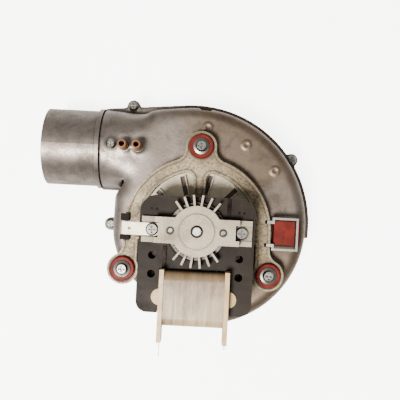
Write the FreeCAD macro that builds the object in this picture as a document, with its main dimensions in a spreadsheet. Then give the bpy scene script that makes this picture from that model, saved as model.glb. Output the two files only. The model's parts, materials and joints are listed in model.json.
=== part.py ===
"""Flue exhaust blower of a wall-hung gas boiler.

A two-piece die-cast scroll housing with a round flue spigot carries a
shaded-pole motor on a three-point bracket with silicone grommets.  The motor
shaft drives a cooling disc outside the housing and a radial wheel inside it.

Frame: millimetres, +Z along the motor shaft away from the housing, origin on
the shaft axis in the flat back (inlet) face, flue outlet towards -X.
"""
import FreeCAD, Part
import math
import os
import re
import Sketcher

Vector = FreeCAD.Vector
doc = FreeCAD.newDocument("FlueBlower")

# ---------------------------------------------------------------- dimensions
# name, value: lengths in millimetres, angles in degrees
DIMENSIONS = (
    # scroll housing
    ("housing_depth", 60.0),
    ("seam_height", 32.0),
    ("gasket_thickness", 1.0),
    ("wall", 2.5),
    ("back_wall", 3.0),
    ("front_wall", 3.0),
    ("rim_round", 8.5),
    ("back_round", 3.5),
    ("corner_round", 12.0),
    ("flange_width", 5.5),
    ("flange_thickness", 3.0),
    ("flange_start", 3.0),
    ("drum_radius", 55.5),
    ("drum_shift", 9.0),
    ("spiral_radius", 77.0),
    ("spiral_step", 10.7),
    ("floor_distance", 57.3),
    ("floor_slope", 20.5),
    ("top_slope", 5.3),
    ("shoulder_height", 24.0),
    # outlet duct and flue spigot
    ("outlet_offset", 60.0),
    ("outlet_radius", 30.0),
    ("spigot_wall", 2.2),
    ("spigot_length", 42.0),
    ("collar_reach", 79.0),
    ("collar_step", 1.6),
    ("duct_reach_low", 60.0),
    ("duct_reach_high", 44.0),
    ("duct_corner", 13.0),
    ("duct_overlap", 10.0),
    ("duct_high_edge", 86.5),
    ("duct_low_edge", 30.5),
    ("duct_joint_gap", 0.2),
    ("lug_length", 16.0),
    ("lug_width", 11.0),
    ("lug_thickness", 3.5),
    ("lug_drop", 1.5),
    # inlet and back fixing
    ("inlet_radius", 34.0),
    ("inlet_lip", 6.0),
    ("seal_groove_radius", 40.0),
    ("seal_groove_width", 4.0),
    ("seal_groove_depth", 1.6),
    ("fixing_circle_radius", 50.0),
    ("fixing_boss_radius", 5.0),
    ("fixing_boss_height", 10.0),
    ("fixing_hole_radius", 2.5),
    ("fixing_hole_depth", 8.5),
    # housing screws
    ("ear_left_x", 68.6),
    ("ear_left_y", 0.8),
    ("ear_top_x", 55.6),
    ("ear_top_y", 94.8),
    ("ear_right_x", 71.6),
    ("ear_right_y", 58.4),
    ("ear_floor_x", 11.4),
    ("ear_floor_y", 61.2),
    ("duct_screw_x", 67.8),
    ("duct_screw_y", 61.0),
    ("duct_screw_seat", 63.2),
    ("ear_radius", 5.2),
    ("ear_thickness", 3.8),
    ("housing_screw_radius", 2.0),
    ("housing_screw_head", 3.9),
    ("housing_screw_head_height", 2.6),
    ("screw_clearance", 0.15),
    ("thread_clearance", 0.02),
    # three-point motor suspension
    ("mount_circle_radius", 61.2),
    ("post_radius", 7.0),
    ("post_height", 5.0),
    ("post_root", 20.0),
    ("spider_underside", 67.0),
    ("spider_thickness", 5.0),
    ("spider_rim", 1.5),
    ("spider_rim_height", 1.0),
    ("spider_outer_radius", 53.5),
    ("spider_inner_radius", 43.2),
    ("spider_boss_radius", 11.4),
    ("spider_fillet", 9.0),
    ("spoke_width", 8.8),
    ("spoke_fillet", 5.0),
    ("spider_bar_width", 17.0),
    ("spider_hub_radius", 11.0),
    ("spider_hub_underside", 65.9),
    ("spider_hub_top", 75.2),
    ("slot_offset", 8.4),
    ("slot_width", 2.6),
    ("slot_length", 4.8),
    ("grommet_radius", 9.0),
    ("grommet_waist", 6.6),
    ("grommet_overhang", 2.4),
    ("grommet_clearance", 0.05),
    ("sleeve_radius", 3.4),
    ("sleeve_wall", 0.8),
    ("mount_screw_radius", 2.5),
    ("mount_screw_flange", 6.0),
    ("mount_screw_flange_height", 1.0),
    ("mount_screw_dome", 4.4),
    ("mount_screw_dome_height", 2.6),
    ("mount_screw_grip", 6.0),
    # shaft and its bearings
    ("shaft_radius", 3.0),
    ("shaft_bottom", 33.0),
    ("shaft_top", 123.5),
    ("bearing_clearance", 0.03),
    ("seat_clearance", 0.01),
    ("bush_radius", 5.5),
    ("bush_length", 7.5),
    ("bush_crown", 0.6),
    ("felt_width", 2.2),
    ("felt_height", 3.0),
    ("thrust_gap", 0.2),
    ("thrust_radius", 5.2),
    # motor
    ("stack_back", 78.0),
    ("stack_thickness", 32.0),
    ("stack_half_width", 38.5),
    ("stack_top", 23.0),
    ("stack_bottom", 55.2),
    ("stack_top_round", 11.0),
    ("stack_bottom_round", 7.5),
    ("window_half_width", 24.0),
    ("window_top", 25.6),
    ("core_leg_low", 52.2),
    ("core_leg_high", 36.8),
    ("rotor_radius", 20.0),
    ("air_gap", 0.4),
    ("stack_hole_radius", 2.7),
    ("stack_hole_offset", 29.1),
    ("stack_hole_upper", 17.2),
    ("stack_hole_lower", 29.6),
    ("motor_screw_offset", 29.6),
    ("motor_screw_radius", 2.0),
    ("motor_screw_head", 4.2),
    ("motor_screw_head_height", 2.8),
    ("spacer_radius", 4.2),
    ("end_ring_outer", 19.2),
    ("end_ring_inner", 12.6),
    ("end_ring_height", 2.5),
    ("nub_height", 1.0),
    ("shading_offset", 19.5),
    ("shading_width", 2.4),
    ("shading_thickness", 1.2),
    ("shading_start", 11.0),
    ("shading_end", 23.0),
    # coil
    ("coil_half_length", 19.9),
    ("coil_low", 62.5),
    ("coil_high", 26.6),
    ("coil_half_depth", 26.0),
    ("coil_corner", 6.0),
    ("tape_thickness", 0.5),
    ("bobbin_tube_wall", 1.2),
    ("bobbin_flange_thickness", 3.0),
    ("bobbin_flange_lip", 0.9),
    ("bobbin_fit", 0.1),
    ("holder_reach", 72.7),
    ("holder_depth", 12.0),
    ("bobbin_ear_radius", 5.4),
    ("bobbin_ear_thickness", 1.2),
    ("blade_thickness", 0.8),
    ("blade_width", 6.3),
    ("blade_reach_left", 83.0),
    ("blade_reach_right", 75.5),
    ("blade_root", 64.5),
    # front bearing bracket
    ("bracket_face", 120.0),
    ("bracket_thickness", 4.0),
    ("bracket_disc_radius", 16.7),
    ("bracket_boss_radius", 11.3),
    ("bracket_boss_lip", 0.8),
    ("bracket_nose_radius", 8.6),
    ("bracket_eye_radius", 4.1),
    ("bracket_half_height", 8.5),
    ("bracket_reach", 36.6),
    ("bracket_step", 27.9),
    ("bracket_recess_start", 25.3),
    ("bracket_recess_half", 5.0),
    ("foot_height", 3.0),
    ("foot_rail", 0.6),
    ("fin_count", 6),
    ("fin_pitch", 15.0),
    ("fin_tip_radius", 24.0),
    ("fin_root_radius", 14.0),
    ("fin_width", 1.35),
    ("fin_height", 5.0),
    ("fin_drop", 0.5),
    ("rivet_offset", 17.3),
    ("rivet_radius", 2.3),
    ("rivet_recess_radius", 2.9),
    ("rivet_recess_depth", 1.0),
    ("keeper_thickness", 0.8),
    ("keeper_half_width", 5.0),
    ("keeper_reach", 20.5),
    ("keeper_land", 2.4),
    ("earth_tab_tip", 49.7),
    ("earth_tab_root", 25.6),
    ("earth_tab_width", 8.4),
    ("earth_tab_thickness", 0.8),
    ("earth_tab_hole", 1.1),
    # cooling disc
    ("fan_disc_radius", 43.5),
    ("fan_disc_height", 61.6),
    ("fan_disc_thickness", 0.9),
    ("fan_hub_radius", 7.0),
    ("fan_hub_height", 3.6),
    ("fan_blade_count", 12),
    ("fan_blade_inner", 27.0),
    ("fan_blade_outer", 41.5),
    ("fan_blade_height", 3.4),
    ("fan_slot_width", 3.4),
    # radial wheel
    ("wheel_radius", 52.0),
    ("wheel_eye_radius", 38.0),
    ("wheel_back", 49.0),
    ("wheel_front", 14.0),
    ("wheel_sheet", 1.0),
    ("wheel_blade_count", 30),
    ("wheel_blade_inner", 42.0),
    ("wheel_blade_margin", 0.8),
    ("wheel_blade_thickness", 0.8),
    ("wheel_blade_lean", 38.0),
    ("wheel_hub_radius", 9.0),
    ("wheel_hub_height", 8.0),
    ("wheel_nut_radius", 4.6),
    ("wheel_nut_height", 4.0),
    # shaft seal in the housing front
    ("seal_radius", 8.0),
    ("seal_thickness", 2.4),
    ("seal_bore_gap", 0.3),
    ("seal_plate_radius", 12.5),
    ("seal_plate_thickness", 0.8),
    ("seal_rivet_radius", 1.2),
    ("seal_rivet_offset", 10.4),
    # pressure taps
    ("tap_radius", 3.3),
    ("tap_bore_radius", 2.1),
    ("tap_height", 18.0),
    ("tap_first_offset", 58.0),
    ("tap_spacing", 10.5),
    ("tap_shoulder", 0.6),
    ("tap_rounding", 0.6),
    ("tap_boss_radius", 4.7),
    ("tap_boss_top", 62.6),
    # cable clip on the bracket and its silicone sleeve
    ("clip_inner", 54.4),
    ("clip_outer", 73.4),
    ("clip_half_width", 12.0),
    ("clip_sheet", 1.6),
    ("clip_height", 6.0),
    ("clip_prong", 3.6),
    ("sleeve_pad_inner", 56.1),
    ("sleeve_pad_outer", 76.4),
    ("sleeve_pad_low", 8.0),
    ("sleeve_pad_high", 9.6),
    ("sleeve_pad_top", 71.0),
    ("sleeve_pad_lip_top", 64.8),
)

sheet = doc.addObject("Spreadsheet::Sheet", "dims")
for row, (alias, amount) in enumerate(DIMENSIONS, start=1):
    sheet.set("A%d" % row, alias)
    sheet.set("B%d" % row, str(amount))
    sheet.setAlias("B%d" % row, alias)
doc.recompute()
ALIASES = {alias for alias, amount in DIMENSIONS}


def value(alias):
    """Read one driving dimension back from the sheet as a plain number."""
    return float(sheet.get(alias))


def formula(text):
    """Turn a formula in dimension names into an expression on the sheet."""
    def lookup(match):
        word = match.group(0)
        return "dims." + word if word in ALIASES else word
    return re.sub(r"[a-z_]+[a-z0-9_]*", lookup, str(text))


def bind(obj, prop, text):
    obj.setExpression(prop, formula(text))


def place(obj, x="0", y="0", z="0", turn=None, axis=Vector(0, 0, 1)):
    """Bind an object's position; turn is a fixed angle about axis in degrees."""
    if turn is not None:
        obj.Placement = FreeCAD.Placement(Vector(), FreeCAD.Rotation(axis, turn))
    for letter, text in zip("xyz", (x, y, z)):
        if str(text) != "0":
            bind(obj, "Placement.Base." + letter, text)
    return obj


# ---------------------------------------------------------------- primitives
def cylinder(radius, height, x="0", y="0", z="0", turn=None, axis=Vector(0, 0, 1)):
    obj = doc.addObject("Part::Cylinder", "Cylinder")
    bind(obj, "Radius", radius)
    bind(obj, "Height", height)
    return place(obj, x, y, z, turn, axis)


def box(length, width, height, x="0", y="0", z="0", turn=None, axis=Vector(0, 0, 1)):
    obj = doc.addObject("Part::Box", "Box")
    bind(obj, "Length", length)
    bind(obj, "Width", width)
    bind(obj, "Height", height)
    return place(obj, x, y, z, turn, axis)


def span_box(x_low, x_high, y_low, y_high, z_low, z_high):
    """A box given by its lowest and highest corner."""
    return box("(%s) - (%s)" % (x_high, x_low), "(%s) - (%s)" % (y_high, y_low),
               "(%s) - (%s)" % (z_high, z_low), x_low, y_low, z_low)


def tube(outer, inner, height, x="0", y="0", z="0"):
    return cut(cylinder(outer, height, x, y, z), cylinder(inner, height, x, y, z))


def fuse(*shapes):
    obj = doc.addObject("Part::MultiFuse", "Fusion")
    obj.Shapes = list(shapes)
    obj.Refine = True
    return obj


def cut(base, *tools):
    for tool in tools:
        obj = doc.addObject("Part::Cut", "Cut")
        obj.Base = base
        obj.Tool = tool
        base = obj
    return base


def common(first, second):
    obj = doc.addObject("Part::MultiCommon", "Common")
    obj.Shapes = [first, second]
    return obj


def group(*shapes):
    obj = doc.addObject("Part::Compound", "Group")
    obj.Links = list(shapes)
    return obj


def copy_at(master, x="0", y="0", z="0", turn=None, axis=Vector(0, 0, 1)):
    link = doc.addObject("App::Link", "Copy")
    link.LinkedObject = master
    link.LinkTransform = True
    return place(link, x, y, z, turn, axis)


def round_edges(base, wanted, radius):
    """Fillet every edge of base whose middle point wanted() accepts."""
    doc.recompute()
    picked = []
    for number, edge in enumerate(base.Shape.Edges, start=1):
        middle = edge.valueAt((edge.FirstParameter + edge.LastParameter) / 2)
        if wanted(edge, middle):
            picked.append((number, radius, radius))
    obj = doc.addObject("Part::Fillet", "Fillet")
    obj.Base = base
    obj.Edges = picked
    return obj


def upright(edge):
    box_of_edge = edge.BoundBox
    return box_of_edge.XLength + box_of_edge.YLength < 1e-4 < box_of_edge.ZLength


def near(first, second, reach=0.05):
    return abs(first - second) < reach


# ----------------------------------------------------- bodies with sketches
def origin_plane(body, role):
    for feature in body.Origin.OriginFeatures:
        if feature.Role == role:
            return feature
    raise LookupError(role)


def polygon_sketch(body, role, corners):
    """A closed polygon on one of the body's origin planes.

    Each corner is a pair of formulas; "0" puts the corner on the axis.
    """
    sketch = body.newObject("Sketcher::SketchObject", body.Name + "Sketch")
    sketch.AttachmentSupport = [(origin_plane(body, role), "")]
    sketch.MapMode = "FlatFace"
    count = len(corners)
    ring = [Vector(50 * math.cos(2 * math.pi * i / count + 0.4),
                   50 * math.sin(2 * math.pi * i / count + 0.4), 0) for i in range(count)]
    for index in range(count):
        sketch.addGeometry(Part.LineSegment(ring[index], ring[(index + 1) % count]))
    for index in range(count):
        sketch.addConstraint(Sketcher.Constraint("Coincident", index, 2, (index + 1) % count, 1))
    for index, (across, along) in enumerate(corners):
        for kind, axis, text in (("DistanceX", -2, across), ("DistanceY", -1, along)):
            if str(text) == "0":
                sketch.addConstraint(Sketcher.Constraint("PointOnObject", index, 1, axis))
                continue
            start = ring[index].x if kind == "DistanceX" else ring[index].y
            number = sketch.addConstraint(
                Sketcher.Constraint(kind, -1, 1, index, 1, start))
            name = "corner%d%s" % (index, kind[-1])
            sketch.renameConstraint(number, name)
            bind(sketch, "Constraints." + name, text)
    return sketch


def revolve(name, corners, x="0", y="0", z="0"):
    """A body turned about its own Z axis from (radius, height) corners."""
    body = doc.addObject("PartDesign::Body", name)
    sketch = polygon_sketch(body, "XZ_Plane", corners)
    turned = body.newObject("PartDesign::Revolution", name + "Turned")
    turned.Profile = sketch
    turned.ReferenceAxis = (sketch, ["V_Axis"])
    turned.Angle = 360
    return place(body, x, y, z)


def pad(name, corners, height, x="0", y="0", z="0", role="XY_Plane"):
    """A body padded from a polygon of (across, along) corners."""
    body = doc.addObject("PartDesign::Body", name)
    sketch = polygon_sketch(body, role, corners)
    padded = body.newObject("PartDesign::Pad", name + "Pad")
    padded.Profile = sketch
    bind(padded, "Length", height)
    return place(body, x, y, z)


NODES = []


def node(name, obj):
    """Name a finished sub-part; its label becomes its file name."""
    obj.Label = name
    NODES.append(obj)
    return obj


# ------------------------------------------------------------ scroll outline
def line(start, end):
    return Part.LineSegment(start, end)


def arc(centre, radius, first, last):
    circle = Part.Circle(centre, Vector(0, 0, 1), radius)
    return Part.ArcOfCircle(circle, math.radians(first), math.radians(last))


def scroll_sketch(name, inset, z, high_reach, low_reach):
    """The scroll outline seen along the shaft, moved inwards by inset.

    A drum arc on the left, a sloping floor, a lower-right arc, a larger
    upper-right arc (together a volute drawn from offset centres), a straight
    top running to the outlet, and a closing line across the outlet duct.
    """
    half = value("spiral_step") / 2
    radius = value("spiral_radius")
    outer = radius + 2 * half
    drum = value("drum_radius")
    left = -value("drum_shift") - drum
    slope = value("top_slope")
    top_end = Vector(-half, half, 0) + Vector(0, outer, 0)
    far = value(high_reach) if high_reach in ALIASES else value("collar_reach")
    shoulder = Vector(left, value("shoulder_height"), 0)
    low = Vector(-far, value("duct_low_edge"), 0)
    high = Vector(-far, top_end.y - 4, 0)
    sketch = doc.addObject("Sketcher::SketchObject", name)
    for piece in (
            arc(Vector(-value("drum_shift"), 0, 0), drum, 180, 230),
            line(Vector(left + 20, -44, 0), Vector(22, -69, 0)),
            arc(Vector(half, half, 0), radius, 283, 360),
            arc(Vector(-half, half, 0), outer, 0, 90 + slope),
            line(top_end, high),
            line(high, low),
            line(low, shoulder),
            line(shoulder, Vector(left, 0, 0))):
        sketch.addGeometry(piece)

    def rule(kind, *args):
        return sketch.addConstraint(Sketcher.Constraint(kind, *args))

    def sized(text, kind, *args):
        number = rule(kind, *args)
        label = "size%d" % number
        sketch.renameConstraint(number, label)
        bind(sketch, "Constraints." + label, text)

    drum_arc, floor, lower_arc, upper_arc, top, mouth, shoulder_line, side = range(8)
    rule("Coincident", drum_arc, 2, floor, 1)
    rule("Coincident", floor, 2, lower_arc, 1)
    rule("Tangent", lower_arc, 2, upper_arc, 1)
    rule("Tangent", upper_arc, 2, top, 1)
    rule("Coincident", top, 2, mouth, 1)
    rule("Coincident", mouth, 2, shoulder_line, 1)
    rule("Coincident", shoulder_line, 2, side, 1)
    rule("Tangent", side, 2, drum_arc, 1)
    rule("Vertical", side)
    rule("PointOnObject", drum_arc, 3, -1)
    sized("-drum_shift", "DistanceX", -1, 1, drum_arc, 3, -value("drum_shift"))
    sized("drum_radius - (%s)" % inset, "Radius", drum_arc, drum)
    for number, sign in ((lower_arc, 1), (upper_arc, -1)):
        sized("%d * spiral_step / 2" % sign, "DistanceX", -1, 1, number, 3, sign * half)
        sized("spiral_step / 2", "DistanceY", -1, 1, number, 3, half)
    sized("spiral_radius - (%s)" % inset, "Radius", lower_arc, radius)
    sized("-floor_slope * 1 deg", "Angle", floor, -math.radians(value("floor_slope")))
    sized("floor_distance - (%s)" % inset, "Distance", -1, 1, floor, value("floor_distance"))
    sized("(180 + top_slope) * 1 deg", "Angle", top, math.pi + math.radians(slope))
    sized("-(%s)" % high_reach, "DistanceX", -1, 1, mouth, 1, high.x)
    sized("-(%s)" % low_reach, "DistanceX", -1, 1, mouth, 2, low.x)
    sized("duct_low_edge + (%s)" % inset, "DistanceY", -1, 1, mouth, 2, low.y)
    sized("shoulder_height", "DistanceY", -1, 1, side, 1, shoulder.y)
    return place(sketch, z=z)


def extrude(sketch, height):
    """A straight prism on a sketch."""
    obj = doc.addObject("Part::Extrusion", "Extrusion")
    obj.Base = sketch
    obj.DirMode = "Custom"
    obj.Dir = Vector(0, 0, 1)
    obj.Solid = True
    bind(obj, "LengthFwd", height)
    return obj


SEAM_LOW = "seam_height - gasket_thickness / 2"
SEAM_HIGH = "seam_height + gasket_thickness / 2"
COLLAR_FACE = "collar_reach - collar_step"
EARS = (("-ear_left_x", "ear_left_y"), ("-ear_top_x", "ear_top_y"),
        ("ear_right_x", "ear_right_y"), ("-ear_floor_x", "-ear_floor_y"))
SKY = "2 * spiral_radius"


def scroll_prism(name, inset, z, height):
    """A scroll prism with its upright corners rounded."""
    sketch = scroll_sketch(name, inset, z, "duct_reach_high", "duct_reach_low")
    prism = extrude(sketch, height)
    radius = value("corner_round") - (value(inset) if inset in ALIASES else 0)
    half = value("spiral_step") / 2

    def blunt(edge, middle):
        smooth = near(middle.y, 0) or near(middle.y, half)
        top_end = middle.y > value("spiral_radius") and middle.x > -value("duct_reach_high") / 2
        return upright(edge) and not smooth and not top_end

    return round_edges(prism, blunt, radius)


def rounded_scroll(prism, level, radius):
    """Round the whole rim of a scroll prism at one level."""
    def on_rim(edge, middle):
        return edge.BoundBox.ZLength < 0.01 and near(middle.z, level)
    return round_edges(prism, on_rim, radius)


def seam_plate(name, z, height, ear_height, ear_z):
    """Flange plate of the seam: full scroll, upper flange and screw ears."""
    flange = extrude(scroll_sketch(name + "_flange", "-flange_width", z,
                                   COLLAR_FACE, COLLAR_FACE), height)
    right = span_box("-duct_reach_high", SKY, "-flange_start", SKY, z, "%s + %s" % (z, height))
    left = span_box("-(%s)" % COLLAR_FACE, "-duct_reach_high", "duct_low_edge - flange_thickness",
                    SKY, z, "%s + %s" % (z, height))
    rim = common(flange, fuse(right, left))
    ears = [cylinder("ear_radius", ear_height, x, y, ear_z) for x, y in EARS]
    return fuse(rim, scroll_prism(name + "_plate", "0", z, height), *ears)


# ------------------------------------------------------------- outlet duct
def duct_loft(name, radius, reach, inset, bottom, top):
    """Ruled transition from the round spigot to the scroll's box section.

    Every flat side of the box meets a short arc of the circle, so the faces
    between them are almost flat and the corners run out into the round.
    """
    flat = 8
    middle = Vector(-reach, value("outlet_offset"), value("seam_height"))
    low = Vector(-value("duct_reach_low") + value("duct_overlap"),
                 value("duct_low_edge") + inset, 0)
    high = Vector(-value("duct_reach_high") + value("duct_overlap"),
                  value("duct_high_edge") - inset, 0)
    along = high - low
    width = along.Length
    along.normalize()
    corner = value("duct_corner") - inset
    tall = top - bottom

    def on_circle(angle):
        turn = math.radians(angle)
        return middle + Vector(0, radius * math.cos(turn), radius * math.sin(turn))

    def on_box(across, height):
        return low + along * across + Vector(0, 0, bottom + height)

    round_edges_list = []
    box_edges = []
    centres = ((width - corner, tall - corner), (corner, tall - corner),
               (corner, corner), (width - corner, corner))
    for quarter, (across, height) in enumerate(centres):
        turn = 90 * quarter
        before, after = on_circle(turn + flat), on_circle(turn + 90 - flat)
        round_edges_list.append(Part.Arc(before, on_circle(turn + 45), after).toShape())
        round_edges_list.append(Part.Arc(after, on_circle(turn + 90),
                                         on_circle(turn + 90 + flat)).toShape())
        points = []
        for angle in (turn, turn + 45, turn + 90):
            step = math.radians(angle)
            points.append(on_box(across + corner * math.cos(step),
                                 height + corner * math.sin(step)))
        box_edges.append(Part.Arc(*points).toShape())
        next_across, next_height = centres[(quarter + 1) % 4]
        step = math.radians(turn + 90)
        following = on_box(next_across + corner * math.cos(step),
                           next_height + corner * math.sin(step))
        box_edges.append(Part.LineSegment(points[2], following).toShape())
    obj = doc.addObject("Part::Feature", name)
    obj.Shape = Part.makeLoft([Part.Wire(round_edges_list), Part.Wire(box_edges)], True, True)
    return obj


duct_outer = duct_loft("duct_outer", value("outlet_radius") + value("collar_step") / 2,
                       value("collar_reach"), 0, 0, value("housing_depth"))
duct_inner = duct_loft("duct_inner", value("outlet_radius") - value("spigot_wall"),
                       value("collar_reach"), value("wall"), value("back_wall"),
                       value("housing_depth") - value("front_wall"))


def along_outlet(radius, near_x, far_x):
    """A cylinder on the outlet axis from near_x to far_x towards the flue."""
    return cylinder(radius, "(%s) - (%s)" % (far_x, near_x), "-(%s)" % near_x,
                    "outlet_offset", "seam_height", -90, Vector(0, 1, 0))


# --------------------------------------------------------------- back shell
def back_shell():
    body = rounded_scroll(scroll_prism("back_outline", "0", "0", SEAM_LOW), 0,
                          value("back_round"))
    plate = seam_plate("back", SEAM_LOW + " - flange_thickness", "flange_thickness",
                       "ear_thickness", SEAM_LOW + " - ear_thickness")
    lower_half = span_box("-collar_reach", "0", "0", SKY, "0", SEAM_LOW)
    duct = common(duct_outer, lower_half)
    collar = along_outlet("outlet_radius + collar_step", COLLAR_FACE, "collar_reach + collar_step")
    spigot = along_outlet("outlet_radius", "collar_reach", "collar_reach + spigot_length")
    outside = fuse(fuse(body, plate), fuse(duct, collar, spigot))
    hollow = scroll_prism("back_hollow", "wall", "back_wall", SEAM_LOW)
    bore = along_outlet("outlet_radius - spigot_wall", "collar_reach",
                        "collar_reach + spigot_length + 1")
    shell = cut(outside, hollow, duct_inner, bore)
    lip = cylinder("inlet_radius + wall", "back_wall + inlet_lip")
    spots = [(90 * quarter + 45) for quarter in range(4)]
    bosses = []
    holes = []
    for spot in spots:
        x = "fixing_circle_radius * cos(%d)" % spot
        y = "fixing_circle_radius * sin(%d)" % spot
        bosses.append(cylinder("fixing_boss_radius", "fixing_boss_height", x, y))
        holes.append(cylinder("fixing_hole_radius", "fixing_hole_depth", x, y))
    lug_top = "seam_height + outlet_radius - spigot_wall - lug_drop"
    lug = span_box("-collar_reach - collar_step / 2", "-collar_reach + lug_length",
                   "outlet_offset - lug_width / 2", "outlet_offset + lug_width / 2",
                   lug_top + " - lug_thickness", lug_top)
    stem = span_box("-collar_reach - collar_step / 2", "-(%s)" % COLLAR_FACE,
                    "outlet_offset - lug_width / 2", "outlet_offset + lug_width / 2",
                    lug_top + " - lug_thickness",
                    "seam_height + outlet_radius - spigot_wall / 2")
    shell = fuse(shell, lip, lug, stem, *bosses)
    groove = tube("seal_groove_radius + seal_groove_width", "seal_groove_radius",
                  "seal_groove_depth")
    eye = cylinder("inlet_radius", "back_wall + inlet_lip + 1")
    tapped = [cylinder("housing_screw_radius + thread_clearance", "3 * ear_thickness", x, y,
                       SEAM_LOW + " - 2 * ear_thickness") for x, y in EARS]
    tapped.append(cylinder("housing_screw_radius + thread_clearance", "3 * lug_thickness",
                           "-duct_screw_x", "duct_screw_y", lug_top + " - 2 * lug_thickness"))
    return node("back_shell", cut(shell, eye, groove, *(holes + tapped)))


# -------------------------------------------------------------- front shell
POST_TOP = "housing_depth + post_height"
MOUNT_ANGLES = (90, 210, 330)
TAPS = ("-tap_first_offset", "-tap_first_offset + tap_spacing")


def mount_spot(angle):
    return ("mount_circle_radius * cos(%d)" % angle, "mount_circle_radius * sin(%d)" % angle)


def front_shell():
    prism = scroll_prism("front_outline", "0", SEAM_HIGH, "housing_depth - (%s)" % SEAM_HIGH)
    body = rounded_scroll(prism, value("housing_depth"), value("rim_round"))
    plate = seam_plate("front", SEAM_HIGH, "flange_thickness", "ear_thickness", SEAM_HIGH)
    upper_half = span_box("-(%s) + duct_joint_gap" % COLLAR_FACE, "0", "0", SKY, SEAM_HIGH,
                          "2 * housing_depth")
    duct = common(duct_outer, upper_half)
    posts = []
    for angle in MOUNT_ANGLES:
        x, y = mount_spot(angle)
        posts.append(cylinder("post_radius", "post_height + post_root", x, y,
                              "housing_depth - post_root"))
    bosses = [cylinder("tap_boss_radius", "tap_boss_top - seam_height", x, "outlet_offset",
                       "seam_height") for x in TAPS]
    bosses.append(cylinder("housing_screw_head + wall / 4", "duct_screw_seat - seam_height",
                           "-duct_screw_x", "duct_screw_y", "seam_height"))
    outside = fuse(body, plate, duct, *(posts + bosses))
    core = scroll_prism("front_hollow", "wall", SEAM_HIGH,
                        "housing_depth - front_wall - (%s)" % SEAM_HIGH)
    hollow = rounded_scroll(core, value("housing_depth") - value("front_wall"),
                            value("rim_round") - value("wall"))
    shell = cut(outside, hollow, duct_inner)
    throat = cylinder("seal_radius + wall", "front_wall + 1", "0", "0",
                      "housing_depth - front_wall - 1")
    shell = fuse(shell, throat)
    holes = [cylinder("seal_radius + seat_clearance", "2 * front_wall", "0", "0",
                      "housing_depth - seal_thickness"),
             cylinder("shaft_radius + 2 * seal_bore_gap", "3 * front_wall", "0", "0",
                      "housing_depth - 2 * front_wall")]
    for x in TAPS:
        holes.append(cylinder("tap_radius - tap_shoulder + seat_clearance", "housing_depth", x,
                              "outlet_offset", "seam_height + post_height"))
    for angle in MOUNT_ANGLES:
        x, y = mount_spot(angle)
        holes.append(cylinder("mount_screw_radius + thread_clearance",
                              "mount_screw_grip + post_height", x, y,
                              POST_TOP + " - mount_screw_grip"))
    for x, y in EARS:
        holes.append(cylinder("housing_screw_radius + screw_clearance", "3 * ear_thickness",
                              x, y, "seam_height"))
    holes.append(cylinder("housing_screw_radius + screw_clearance", "housing_depth",
                          "-duct_screw_x", "duct_screw_y", "seam_height + post_height"))
    for side in (-1, 1):
        holes.append(cylinder("seal_rivet_radius + seat_clearance", "2 * front_wall",
                              "%d * seal_rivet_offset" % side, "0",
                              "housing_depth - front_wall / 2"))
    return node("front_shell", cut(shell, *holes))


def housing_gasket():
    plate = seam_plate("gasket", SEAM_LOW, "gasket_thickness", "gasket_thickness", SEAM_LOW)
    hollow = scroll_prism("gasket_hollow", "wall", SEAM_LOW, "gasket_thickness")
    holes = [cylinder("housing_screw_radius + screw_clearance", "2 * gasket_thickness", x, y,
                      SEAM_LOW) for x, y in EARS]
    inside = span_box("-(%s) - 1" % COLLAR_FACE, "0", "duct_low_edge", "duct_high_edge",
                      SEAM_LOW, SEAM_HIGH)
    bare = cut(plate, hollow, *holes)
    return node("housing_gasket", cut(bare, common(duct_inner, inside)))


def housing_screws():
    """Five domed screws: four through the seam ears, one on the duct crown."""
    head = revolve("HousingScrewHead",
                   (("0", "0"), ("housing_screw_head", "0"),
                    ("housing_screw_head", "housing_screw_head_height / 3"),
                    ("housing_screw_head * 0.62", "housing_screw_head_height"),
                    ("0", "housing_screw_head_height")))
    slots = [box("housing_screw_head * 1.1", "0.9", "1.4",
                 "-housing_screw_head * 0.55", "-0.45", "housing_screw_head_height - 1.1"),
             box("0.9", "housing_screw_head * 1.1", "1.4",
                 "-0.45", "-housing_screw_head * 0.55", "housing_screw_head_height - 1.1")]
    shank_length = "2 * ear_thickness + gasket_thickness"
    shank = cylinder("housing_screw_radius", shank_length, "0", "0", "-(%s)" % shank_length)
    master = fuse(cut(head, *slots), shank)
    copies = [copy_at(master, x, y, SEAM_HIGH + " + ear_thickness") for x, y in EARS]
    copies.append(copy_at(master, "-duct_screw_x", "duct_screw_y", "duct_screw_seat"))
    return node("housing_screws", group(*copies))


def inlet_seal():
    return node("inlet_seal", tube(
        "seal_groove_radius + seal_groove_width - seat_clearance",
        "seal_groove_radius + seat_clearance", "seal_groove_depth"))


def pressure_taps():
    """Two tubular taps pressed through the duct roof up to a shoulder."""
    bottom = "housing_depth - front_wall - wall / 2"
    shoulder = "tap_boss_top - (%s)" % bottom
    tall = "housing_depth + tap_height - (%s)" % bottom
    master = revolve("Tap", (
        ("tap_bore_radius", "0"), ("tap_radius - tap_shoulder", "0"),
        ("tap_radius - tap_shoulder", shoulder), ("tap_radius", shoulder),
        ("tap_radius", tall + " - tap_rounding"), ("tap_radius - tap_rounding", tall),
        ("tap_bore_radius", tall)))
    for index, x in enumerate(TAPS, start=1):
        node("pressure_tap_%d" % index,
             group(copy_at(master, x, "outlet_offset", bottom)))


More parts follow.
